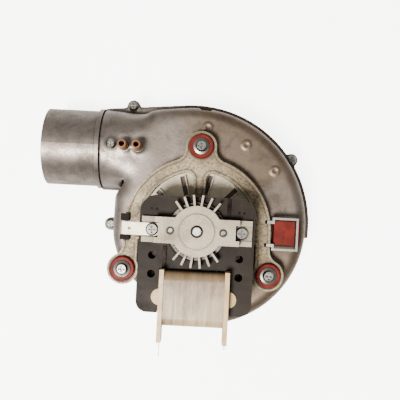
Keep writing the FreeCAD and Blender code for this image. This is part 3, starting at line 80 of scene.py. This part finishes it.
class Tree:
    """A material's node tree with short calls for the nodes used here."""

    def __init__(self, name):
        self.material = bpy.data.materials.new(name)
        self.material.use_nodes = True
        self.nodes = self.material.node_tree.nodes
        self.links = self.material.node_tree.links
        self.shader = self.nodes["Principled BSDF"]
        self.where = self.nodes.new("ShaderNodeTexCoord").outputs["Object"]

    def put(self, socket, value):
        """Feeds a socket from another socket, a hex colour or a plain value."""
        if isinstance(value, bpy.types.NodeSocket):
            self.links.new(value, socket)
        elif isinstance(value, str):
            socket.default_value = linear(value)
        else:
            socket.default_value = value

    def stretched(self, scale):
        """Object coordinates scaled along each axis."""
        node = self.nodes.new("ShaderNodeMapping")
        self.links.new(self.where, node.inputs["Vector"])
        node.inputs["Scale"].default_value = scale
        return node.outputs["Vector"]

    def axis(self, letter):
        node = self.nodes.new("ShaderNodeSeparateXYZ")
        self.links.new(self.where, node.inputs[0])
        return node.outputs[letter]

    def noise(self, scale, detail, rough=0.55, vector=None, warp=0.0):
        node = self.nodes.new("ShaderNodeTexNoise")
        self.links.new(vector or self.where, node.inputs["Vector"])
        node.inputs["Scale"].default_value = scale
        node.inputs["Detail"].default_value = detail
        node.inputs["Roughness"].default_value = rough
        node.inputs["Distortion"].default_value = warp
        return node.outputs["Fac"]

    def cells(self, scale):
        node = self.nodes.new("ShaderNodeTexVoronoi")
        self.links.new(self.where, node.inputs["Vector"])
        node.inputs["Scale"].default_value = scale
        return node.outputs["Distance"]

    def bands(self, scale, axis, warp=0.0):
        """Even ridges across an axis, 2 pi / (20 scale) metres apart."""
        node = self.nodes.new("ShaderNodeTexWave")
        self.links.new(self.where, node.inputs["Vector"])
        node.bands_direction = axis
        node.inputs["Scale"].default_value = scale
        node.inputs["Distortion"].default_value = warp
        node.inputs["Detail"].default_value = 1.0
        return node.outputs["Fac"]

    def level(self, value, low, high, out_low=0.0, out_high=1.0):
        """The value with low..high moved to out_low..out_high, clamped."""
        node = self.nodes.new("ShaderNodeMapRange")
        self.put(node.inputs["Value"], value)
        node.inputs["From Min"].default_value = low
        node.inputs["From Max"].default_value = high
        node.inputs["To Min"].default_value = out_low
        node.inputs["To Max"].default_value = out_high
        return node.outputs["Result"]

    def math(self, kind, first, second):
        node = self.nodes.new("ShaderNodeMath")
        node.operation = kind
        self.put(node.inputs[0], first)
        self.put(node.inputs[1], second)
        return node.outputs["Value"]

    def mix(self, share, first, second):
        node = self.nodes.new("ShaderNodeMix")
        node.data_type = "RGBA"
        self.put(node.inputs["Factor"], share)
        self.put(node.inputs["A"], first)
        self.put(node.inputs["B"], second)
        return node.outputs["Result"]

    def hollow(self, distance):
        """1 in open places and less in corners and cavities; the materials paint shade with it.
        """
        node = self.nodes.new("ShaderNodeAmbientOcclusion")
        node.samples = 4
        node.inputs["Distance"].default_value = distance
        return node.outputs["AO"]

    def rounded(self, radius):
        """The normal of the surface as if its edges had this radius."""
        node = self.nodes.new("ShaderNodeBevel")
        node.samples = 4
        node.inputs["Radius"].default_value = radius
        return node.outputs["Normal"]

    def edges(self, soft):
        """1 on edges, from how far the rounded normal leaves the face."""
        geometry = self.nodes.new("ShaderNodeNewGeometry")
        node = self.nodes.new("ShaderNodeVectorMath")
        node.operation = "DOT_PRODUCT"
        self.links.new(geometry.outputs["Normal"], node.inputs[0])
        self.links.new(soft, node.inputs[1])
        return self.level(node.outputs["Value"], 0.985, 0.86)

    def bump(self, height, depth, strength, base=None):
        node = self.nodes.new("ShaderNodeBump")
        node.inputs["Strength"].default_value = strength
        node.inputs["Distance"].default_value = depth
        self.links.new(height, node.inputs["Height"])
        if base is not None:
            self.links.new(base, node.inputs["Normal"])
        return node.outputs["Normal"]

    def finish(self, colour, rough, normal, metallic=0.0, shine=0.5):
        self.put(self.shader.inputs["Base Color"], colour)
        self.put(self.shader.inputs["Roughness"], rough)
        self.shader.inputs["Metallic"].default_value = metallic
        self.shader.inputs["Specular IOR Level"].default_value = shine
        if normal is not None:
            self.links.new(normal, self.shader.inputs["Normal"])
        return self.material


# ---------------------------------------------------------------- materials
# Wave scales: a steel sheet every 0.49 mm and a turn of wire every 1.05 mm.
SHEET_BANDS = 640
TURN_BANDS = 300


def cast_metal(name, base, warm, dark, edge, grain, rough, metallic, speckle, radius=0.5 * MM,
               drift=0.0, corner_shade=1.0, stain=0.45):
    """Die-cast alloy: cloudy stains, pitted grain, lighter edges and painted shade in hollows.

    drift makes it warmer towards +X, corner_shade sets how much painted shade darkens narrow
    corners, and stain sets how dark the patches and smears are.
    """
    t = Tree(name)
    soft = t.rounded(radius)
    clouds = t.noise(17, 5, 0.6, warp=0.6)
    patches = t.noise(62, 4, 0.65)
    fine = t.noise(grain, 2, 0.6)
    pits = t.cells(grain * 0.45)
    side = t.level(t.axis("X"), -60 * MM, 60 * MM, -0.35 * drift, 0.35 * drift)
    colour = t.mix(t.level(t.math("ADD", clouds, side), 0.4, 0.6), base, warm)
    colour = t.mix(t.level(patches, 0.46, 0.68, 0.0, stain), colour, dark)
    smears = t.noise(28, 6, 0.75, t.stretched((1.0, 1.6, 1.0)), 1.2)
    colour = t.mix(t.level(smears, 0.56, 0.7, 0.0, 0.8 * stain), colour, dark)
    colour = t.mix(t.level(fine, 0.35, 0.7, 0.0, speckle), colour, dark)
    # painted shade: darker in hollows and cavities
    colour = t.mix(t.level(t.hollow(5 * MM), 0.9, 0.35, 0.0, 0.7), colour, dark)
    # painted shade in narrow corners, as strong as corner_shade
    colour = t.mix(t.level(t.hollow(1.8 * MM), 0.96, 0.55, 0.0, corner_shade), colour, dark)
    # lighter along the edges
    colour = t.mix(t.math("MULTIPLY", t.edges(soft), 0.45), colour, edge)
    height = t.math("ADD", fine, t.math("MULTIPLY", t.level(pits, 0.0, 0.5), 0.6))
    height = t.math("ADD", height, t.math("MULTIPLY", patches, 1.3))
    gloss = t.level(t.math("ADD", patches, fine), 0.7, 1.3, rough - 0.08, rough + 0.12)
    return t.finish(colour, gloss, t.bump(height, 0.07 * MM, 0.55, soft), metallic)


def sheet_metal(name, base, second, rough, lines=900, metallic=1.0, axis_scale=(1, 14, 14),
                radius=0.25 * MM):
    """Rolled and plated sheet: rolling lines, haze and painted shade in corners."""
    t = Tree(name)
    soft = t.rounded(radius)
    rolled = t.noise(lines, 2, 0.5, t.stretched(axis_scale))
    haze = t.noise(90, 4, 0.6, warp=0.8)
    colour = t.mix(t.level(haze, 0.35, 0.68), base, second)
    # painted shade: corners and cavities darkened towards a quarter of the base
    colour = t.mix(t.level(t.hollow(2 * MM), 0.85, 0.3, 0.0, 0.6), colour, shade(base, 0.25))
    gloss = t.level(t.math("ADD", haze, rolled), 0.7, 1.3, rough - 0.06, rough + 0.14)
    return t.finish(colour, gloss, t.bump(rolled, 0.02 * MM, 0.5, soft), metallic)


def plastic(name, base, second, rough, scatter=0.0):
    """Moulded plastic: faint flow marks, a fine matte texture and painted shade in hollows."""
    t = Tree(name)
    soft = t.rounded(0.35 * MM)
    flow = t.noise(48, 4, 0.55, warp=1.2)
    fine = t.noise(2600, 1, 0.5)
    colour = t.mix(t.level(flow, 0.38, 0.66), base, second)
    # painted shade: hollows darkened
    colour = t.mix(t.level(t.hollow(3 * MM), 0.9, 0.35, 0.0, 0.5), colour, shade(base, 0.35))
    gloss = t.level(flow, 0.3, 0.7, rough - 0.05, rough + 0.09)
    t.shader.inputs["Subsurface Weight"].default_value = scatter
    t.shader.inputs["Subsurface Radius"].default_value = (1.2 * MM, 0.9 * MM, 0.6 * MM)
    t.shader.inputs["Subsurface Scale"].default_value = 1.0
    return t.finish(colour, gloss, t.bump(fine, 0.02 * MM, 0.6, soft))


def laminated(name, base, second):
    """Stacked electrical steel: dull oxide faces, sheet lines on the sides."""
    t = Tree(name)
    soft = t.rounded(0.25 * MM)
    stains = t.noise(34, 5, 0.65, warp=0.7)
    fine = t.noise(1500, 2, 0.6)
    scuffs = t.noise(260, 3, 0.6, t.stretched((1.0, 0.22, 1.0)))
    colour = t.mix(t.level(stains, 0.36, 0.66), base, second)
    colour = t.mix(t.level(scuffs, 0.6, 0.75, 0.0, 0.35), colour, "#3f352b")
    colour = t.mix(t.level(fine, 0.4, 0.72, 0.0, 0.4), colour, "#0c0a09")
    height = t.math("MULTIPLY", fine, 0.35)
    lines = t.bands(SHEET_BANDS, "Z")
    height = t.math("ADD", height, lines)
    colour = t.mix(t.level(lines, 0.45, 0.05, 0.0, 0.35), colour, "#191615")
    # lighter along the edges
    colour = t.mix(t.math("MULTIPLY", t.edges(soft), 0.35), colour, "#8d837b")
    gloss = t.level(t.math("ADD", stains, fine), 0.7, 1.3, 0.42, 0.62)
    return t.finish(colour, gloss, t.bump(height, 0.06 * MM, 0.6, soft), shine=0.1)


def tape_wrap(name):
    """Glossy cream tape over wire: ridges of the turns, brown stains, and painted shade towards
    the stator window and in hollows.
    """
    t = Tree(name)
    turns = t.bands(TURN_BANDS, "X", 0.7)
    streaks = t.noise(70, 5, 0.7, t.stretched((2.4, 0.16, 0.16)), 0.1)
    blotches = t.noise(50, 5, 0.7, t.stretched((1.3, 0.6, 0.6)), 0.3)
    colour = t.mix(t.level(streaks, 0.34, 0.66), "#b3a080", "#806a4b")
    # painted shade: darker brown towards the top, where the tape runs into the stator window
    window_shade = t.level(t.axis("Y"), -42 * MM, -27 * MM, 0.0, 0.22)
    # this mask holds real stains together with that painted shade
    stains = t.level(t.math("ADD", blotches, window_shade), 0.46, 0.68, 0.0, 0.75)
    colour = t.mix(stains, colour, "#5d4a36")
    # painted shade in hollows
    colour = t.mix(t.level(t.hollow(6 * MM), 0.9, 0.35, 0.0, 0.65), colour, "#5c4024")
    height = t.math("ADD", t.math("MULTIPLY", turns, 0.08), t.math("MULTIPLY", streaks, 2.2))
    gloss = t.level(blotches, 0.3, 0.7, 0.28, 0.45)
    return t.finish(colour, gloss, t.bump(height, 0.15 * MM, 0.5), shine=0.3)


def rubber(name, base, second, rough=0.5, grain=0.05 * MM):
    """Dusty moulded rubber with painted shade in its corners."""
    t = Tree(name)
    soft = t.rounded(0.5 * MM)
    cloud = t.noise(120, 4, 0.6, warp=0.6)
    fine = t.noise(1700, 2, 0.55)
    dust = t.noise(420, 3, 0.7)
    colour = t.mix(t.level(cloud, 0.36, 0.66), base, second)
    colour = t.mix(t.level(dust, 0.56, 0.75, 0.0, 0.3), colour, shade(base, 1.8, 0.02))
    # painted shade: corners darkened
    colour = t.mix(t.level(t.hollow(3 * MM), 0.9, 0.35, 0.0, 0.6), colour, shade(base, 0.3))
    gloss = t.level(cloud, 0.3, 0.7, rough - 0.06, rough + 0.12)
    return t.finish(colour, gloss, t.bump(fine, grain, 0.6, soft), shine=0.15)


def fibrous(name, base, second):
    """Felt and gasket board: short matted fibres."""
    t = Tree(name)
    fibres = t.noise(700, 4, 0.7, t.stretched((1.0, 3.0, 1.5)), 1.5)
    colour = t.mix(t.level(fibres, 0.35, 0.68), base, second)
    gloss = t.level(fibres, 0.3, 0.7, 0.8, 0.95)
    return t.finish(colour, gloss, t.bump(fibres, 0.2 * MM, 0.8))


LOOKS = {
    "housing_cast": (cast_metal, dict(
        base="#7f766f", warm="#6c5d4e", dark="#2e2721", edge="#a89f97", grain=1150, rough=0.4,
        metallic=0.75, speckle=0.3, drift=0.4, corner_shade=0.15, stain=0.6)),
    "bracket_cast": (cast_metal, dict(
        base="#a89676", warm="#8b7856", dark="#2a2012", edge="#d6c6a8", grain=700, rough=0.46,
        metallic=0.3, speckle=0.75)),
    "bracket_cast_fine": (cast_metal, dict(
        base="#b0a38c", warm="#978a72", dark="#40372a", edge="#d6cdb9", grain=1250, rough=0.46,
        metallic=0.25, speckle=0.5, radius=0.3 * MM)),
    "gasket": (fibrous, dict(base="#8a8178", second="#6a625a")),
    "zinc_screw": (sheet_metal, dict(
        base="#8a8982", second="#4f4e4b", rough=0.3, lines=1400, axis_scale=(3, 3, 1),
        radius=0.2 * MM)),
    "zinc_sheet": (sheet_metal, dict(base="#b5b2aa", second="#8d8a83", rough=0.3)),
    "sponge_rubber": (rubber, dict(
        base="#171310", second="#221c17", rough=0.8, grain=0.25 * MM)),
    "tap_plastic": (plastic, dict(base="#84552c", second="#6a4020", rough=0.42, scatter=0.05)),
    "graphite_seal": (plastic, dict(base="#2a2a2b", second="#1c1c1d", rough=0.5)),
    "sintered_bronze": (cast_metal, dict(
        base="#14110d", warm="#0e0c09", dark="#050403", edge="#2a2318", grain=2600, rough=0.6,
        metallic=0.6, speckle=0.4, radius=0.2 * MM)),
    "oil_felt": (fibrous, dict(base="#6b5c42", second="#4a3f2d")),
    "red_silicone": (rubber, dict(base="#651508", second="#4c0d05")),
    "laminated_steel": (laminated, dict(base="#2e251c", second="#1b150f")),
    "copper": (sheet_metal, dict(base="#201a16", second="#130f0c", rough=0.45)),
    "bobbin_nylon": (plastic, dict(base="#c4a676", second="#a98a58", rough=0.44, scatter=0.12)),
    "enamelled_wire": (sheet_metal, dict(base="#8f4c22", second="#6d3716", rough=0.3)),
    "cream_tape": (tape_wrap, {}),
    "tinned_brass": (sheet_metal, dict(base="#b9af9c", second="#968b78", rough=0.3)),
    "ground_steel": (sheet_metal, dict(
        base="#c9c5be", second="#a9a59f", rough=0.24, lines=2400, axis_scale=(1, 1, 9))),
    "rotor_aluminium": (cast_metal, dict(
        base="#6f6b66", warm="#4f4b47", dark="#1f1c1a", edge="#a8a5a0", grain=1400, rough=0.4,
        metallic=0.8, speckle=0.25, radius=0.25 * MM)),
    "washer_nylon": (plastic, dict(base="#222223", second="#161617", rough=0.4)),
    "fan_sheet": (sheet_metal, dict(
        base="#d9cdb4", second="#bdb095", rough=0.4, metallic=0.3)),
    "wheel_sheet": (sheet_metal, dict(base="#c9cbcc", second="#a9abac", rough=0.33)),
    "wheel_hub_metal": (sheet_metal, dict(
        base="#b5b3ae", second="#96948f", rough=0.3, axis_scale=(1, 1, 8))),
}
MATERIALS = {name: make(name, **look) for name, (make, look) in LOOKS.items()}

SLOTS = {part["node"]: part["material_slot"] for part in frame["record"]["subparts"]}
for name, slot in SLOTS.items():
    mesh = NODES[name].data
    mesh.materials.clear()
    mesh.materials.append(MATERIALS[slot])


# ----------------------------------------------------------------- castings
HOUSING_FACE = 60 * MM
VOXEL = 0.9 * MM
BLEND_ROUNDS = 110
CRISP_REACH = 9 * MM
TAP_SCREW_OFFSET = (-10.4, 1.5)
# x, y and reach in mm, from the first pressure tap
BLENDS_FROM_TAP = ((22, 24, 22), (4, 24, 16), (-2, -14, 20), (8, -30, 24), (20, -6, 20),
                   (-9, -26, 16), (2, -44, 16))
MARK_PLACES = ((4.1, 77.7), (33.8, 65.6), (56.2, 47.1))
MARK_RADIUS = 3.9 * MM
MARK_HEIGHT = 0.55 * MM
NOTCH_X = 1.9 * MM
NOTCH_HALF = 4.6 * MM
NOTCH_FOOT = 88 * MM
NOTCH_DEPTH = 1.8 * MM
NOTCH_LOW = 46 * MM
NOTCH_HIGH = HOUSING_FACE - 3 * MM


def show(name, mesh):
    """A mesh as a visible piece that stays with the frame."""
    piece = bpy.data.objects.new(name, mesh)
    bpy.context.scene.collection.objects.link(piece)
    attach(piece, "frame")
    return piece


def rows(items, field, width, kind):
    """One field of a mesh's vertices or edges as rows of numbers."""
    flat = np.empty(len(items) * width, kind)
    items.foreach_get(field, flat)
    return flat.reshape(-1, width)


def evened(node, voxel):
    """A CAD shell's mesh as even small faces, which can be smoothed."""
    piece = bpy.data.objects.new("even", NODES[node].data.copy())
    bpy.context.scene.collection.objects.link(piece)
    remesh = piece.modifiers.new("even", "REMESH")
    remesh.mode = "VOXEL"
    remesh.voxel_size = voxel
    shaped = piece.evaluated_get(bpy.context.evaluated_depsgraph_get())
    mesh = bpy.data.meshes.new_from_object(shaped)
    bpy.data.objects.remove(piece)
    return mesh


def relax(points, edges, share, rounds):
    """Moves each point towards the middle of its neighbours, by its share."""
    count = np.bincount(edges.ravel(), minlength=len(points))[:, None]
    for _ in range(rounds):
        total = np.empty_like(points)
        for k in range(3):
            total[:, k] = (np.bincount(edges[:, 0], points[edges[:, 1], k], len(points))
                           + np.bincount(edges[:, 1], points[edges[:, 0], k], len(points)))
        points += share[:, None] * (total / np.maximum(count, 1) - points)
    return points


def ramp(values, length):
    """Rises from 0 to 1 over a length."""
    return np.clip(values / length, 0, 1)


def away(points, spot):
    """Distances from a spot in plan."""
    return np.hypot(points[:, 0] - spot[0], points[:, 1] - spot[1])


def near(points, spot, reach):
    """1 at a spot in plan and 0 from its reach outwards, with a smooth edge."""
    share = np.clip(1 - away(points, spot) / reach, 0, 1)
    return share * share * (3 - 2 * share)


def blend_share(points, normals, low):
    """How freely each point flows: most between duct and drum, nowhere on a sharp seat."""
    taps = []
    for name in ("pressure_tap_1", "pressure_tap_2"):
        start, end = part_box(name)
        taps.append((np.array(start) + np.array(end)) / 2)
    share = np.zeros(len(points))
    for x, y, reach in BLENDS_FROM_TAP:
        spot = taps[0] + np.array((x, y, 0)) * MM
        share = np.maximum(share, near(points, spot, reach * MM))
    for spot in taps + [taps[0] + np.array((*TAP_SCREW_OFFSET, 0)) * MM]:
        share *= 1 - np.clip(1.6 * near(points, spot, CRISP_REACH), 0, 1)
    share *= np.clip(0.4 + 3 * normals[:, 2], 0, 1)
    share *= ramp(points[:, 0] - low[0] - 1.5 * MM, 6 * MM)
    share *= ramp(points[:, 2] - low[2] - 2.5 * MM, 7 * MM)
    return share


def stretch_to_collar(points, edge):
    """Brings the first few millimetres back to the collar after smoothing."""
    first = points[:, 0].min()
    points[:, 0] -= (first - edge) * (1 - ramp(points[:, 0] - first, 3 * MM))


def raise_marks(points):
    """Ejector marks: low rings on the housing's face."""
    on_face = np.abs(points[:, 2] - HOUSING_FACE) < 0.6 * MM
    for x, y in MARK_PLACES:
        out = away(points, (x * MM, y * MM))
        disc = ramp(MARK_RADIUS - out, 0.22 * MARK_RADIUS)
        dish = ramp(0.7 * MARK_RADIUS - out, 0.5 * MARK_RADIUS)
        points[:, 2] += np.where(on_face, MARK_HEIGHT * (disc - 0.8 * dish), 0)


def press_notch(points):
    """The shallow recess in the shell's top edge."""
    share = ramp(NOTCH_HALF - np.abs(points[:, 0] - NOTCH_X), MM)
    share *= ramp(points[:, 1] - NOTCH_FOOT, 2 * MM)
    share *= ramp(NOTCH_HIGH - points[:, 2], MM)
    share *= ramp(points[:, 2] - NOTCH_LOW, MM)
    points[:, 1] -= NOTCH_DEPTH * share


def casting(node):
    """The front shell as it is cast: flowing blends, ejector marks and the recess."""
    mesh = evened(node, VOXEL)
    points = rows(mesh.vertices, "co", 3, np.float32).astype(np.float64)
    edges = rows(mesh.edges, "vertices", 2, np.int32)
    normals = rows(mesh.vertices, "normal", 3, np.float32)
    low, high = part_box(node)
    points = relax(points, edges, np.full(len(points), 0.5), 2)
    points = relax(points, edges, 0.55 * blend_share(points, normals, low), BLEND_ROUNDS)
    stretch_to_collar(points, low[0])
    raise_marks(points)
    press_notch(points)
    points = np.clip(points, np.array(low), np.array(high))
    mesh.vertices.foreach_set("co", points.ravel().astype(np.float32))
    mesh.update()
    mesh.shade_smooth()
    mesh.materials.clear()
    mesh.materials.append(MATERIALS[SLOTS[node]])
    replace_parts(show(node + "_casting", mesh), node)


casting("front_shell")


# ------------------------------------------------------------ small pieces
BEVEL = 0.5 * MM
BLOCK_BELOW, BLOCK_ABOVE = 3.0 * MM, 0.9 * MM
# each block's span in x and in y, in mm
TAB_BLOCKS = {"tab_block_upper": ((-55.8, -49.6), (4.4, 9.6)),
        "tab_block_lower": ((-55.8, -48.8), (-9.4, -5.6))}
DIMPLE_FOOT, DIMPLE_TOP, DIMPLE_HEIGHT = 0.95 * MM, 0.75 * MM, 0.12 * MM
DIMPLE_PLACES = ((-30.9, 13.6), (-27.4, 13.5), (27.6, 13.6), (31.1, 13.5))


def bevelled(name, low, high, slot):
    """A block with rounded edges between two corners."""
    mesh = bpy.data.meshes.new(name)
    shape = bmesh.new()
    bmesh.ops.create_cube(shape, size=1.0)
    for vertex in shape.verts:
        vertex.co = Vector((vertex.co[k] + 0.5) * (high[k] - low[k]) + low[k] for k in range(3))
    bmesh.ops.bevel(shape, geom=shape.edges[:], offset=BEVEL, segments=3, profile=0.5,
                    affect="EDGES")
    shape.to_mesh(mesh)
    shape.free()
    mesh.shade_smooth()
    mesh.materials.append(MATERIALS[slot])
    show(name, mesh)


def tab_blocks():
    """Dark blocks that fill the bracket's two notches beside the earth tab, so that they show
    dark.
    """
    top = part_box("spider_bracket")[1][2]
    for name, (across, up) in TAB_BLOCKS.items():
        bevelled(name, Vector((across[0] * MM, up[0] * MM, top - BLOCK_BELOW)),
                 Vector((across[1] * MM, up[1] * MM, top + BLOCK_ABOVE)), "sponge_rubber")


def dimple_shades():
    """Punched rounds that lock the laminations together, drawn as discs as dark as the shading
    rings: painted shade in their recesses.
    """
    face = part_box("stator_stack")[1][2]
    for number, (x, y) in enumerate(DIMPLE_PLACES, 1):
        mesh = bpy.data.meshes.new(f"stack_dimple_shade_{number}")
        shape = bmesh.new()
        bmesh.ops.create_cone(shape, cap_ends=True, segments=24, radius1=DIMPLE_FOOT,
                              radius2=DIMPLE_TOP, depth=DIMPLE_HEIGHT)
        bmesh.ops.translate(shape, verts=shape.verts, vec=(x * MM, y * MM, face + 0.05 * MM))
        shape.to_mesh(mesh)
        shape.free()
        mesh.materials.append(MATERIALS["copper"])
        show(mesh.name, mesh)


tab_blocks()
dimple_shades()


# ------------------------------------------------------------------- stage
FLOOR_GLOW = 6.0
WORLD_LIGHT = 0.4
WORLD_GLOW = 4.4
LAMP_AIM = Vector((0, 0, 0.05))


def floor():
    """A white sheet that only the camera sees glowing, as in the overexposed photo."""
    mesh = bpy.data.meshes.new("floor")
    half = 3.0
    mesh.from_pydata([(-half, -half, 0), (half, -half, 0), (half, half, 0), (-half, half, 0)],
                     [], [(0, 1, 2, 3)])
    sheet = bpy.data.objects.new("floor", mesh)
    bpy.context.scene.collection.objects.link(sheet)
    t = Tree("floor")
    cloud = t.noise(3, 2)
    colour = t.mix(t.level(cloud, 0.3, 0.7), "#fbfaf8", "#f6f5f2")
    direct = t.nodes.new("ShaderNodeLightPath").outputs["Is Camera Ray"]
    t.put(t.shader.inputs["Emission Color"], colour)
    t.put(t.shader.inputs["Emission Strength"], t.math("MULTIPLY", direct, FLOOR_GLOW))
    mesh.materials.append(t.finish(colour, 0.7, None))
    sheet.location.z = cad_box[0].z - 0.2 * MM


def lamp(name, place, size, power, colour):
    """A round area light that looks at the object's middle."""
    data = bpy.data.lights.new(name, "AREA")
    data.shape = "DISK"
    data.size = size
    data.energy = power
    data.color = colour
    obj = bpy.data.objects.new(name, data)
    bpy.context.scene.collection.objects.link(obj)
    obj.location = place
    obj.rotation_euler = (LAMP_AIM - Vector(place)).to_track_quat("-Z", "Y").to_euler()


def studio():
    """Two lamps and a dim world, which the camera sees brighter than it lights."""
    lamp("key", place=(-0.27, -0.36, 1.3), size=0.34, power=46.0, colour=(1.0, 0.965, 0.92))
    lamp("fill_left", place=(-1.1, -0.5, 0.9), size=0.9, power=5.0, colour=(1.0, 0.97, 0.93))
    world = bpy.data.worlds.new("studio")
    world.use_nodes = True
    nodes = world.node_tree.nodes
    back = nodes["Background"]
    back.inputs["Color"].default_value = (1.0, 0.995, 0.985, 1.0)
    direct = nodes.new("ShaderNodeLightPath").outputs["Is Camera Ray"]
    shown = nodes.new("ShaderNodeMapRange")
    shown.inputs["To Min"].default_value = WORLD_LIGHT
    shown.inputs["To Max"].default_value = WORLD_GLOW
    world.node_tree.links.new(direct, shown.inputs["Value"])
    world.node_tree.links.new(shown.outputs["Result"], back.inputs["Strength"])
    bpy.context.scene.world = world


def camera():
    """Almost straight above the shaft, turned a few degrees."""
    data = bpy.data.cameras.new("camera")
    data.sensor_width = 36.0
    data.lens = 53.1117
    data.clip_start = 0.01
    obj = bpy.data.objects.new("camera", data)
    bpy.context.scene.collection.objects.link(obj)
    obj.location = (0.00195, 0.00975, 0.5037)
    obj.rotation_euler = Euler((0.0285, 0.001, 0.051), "XYZ")
    bpy.context.scene.camera = obj


floor()
studio()
camera()
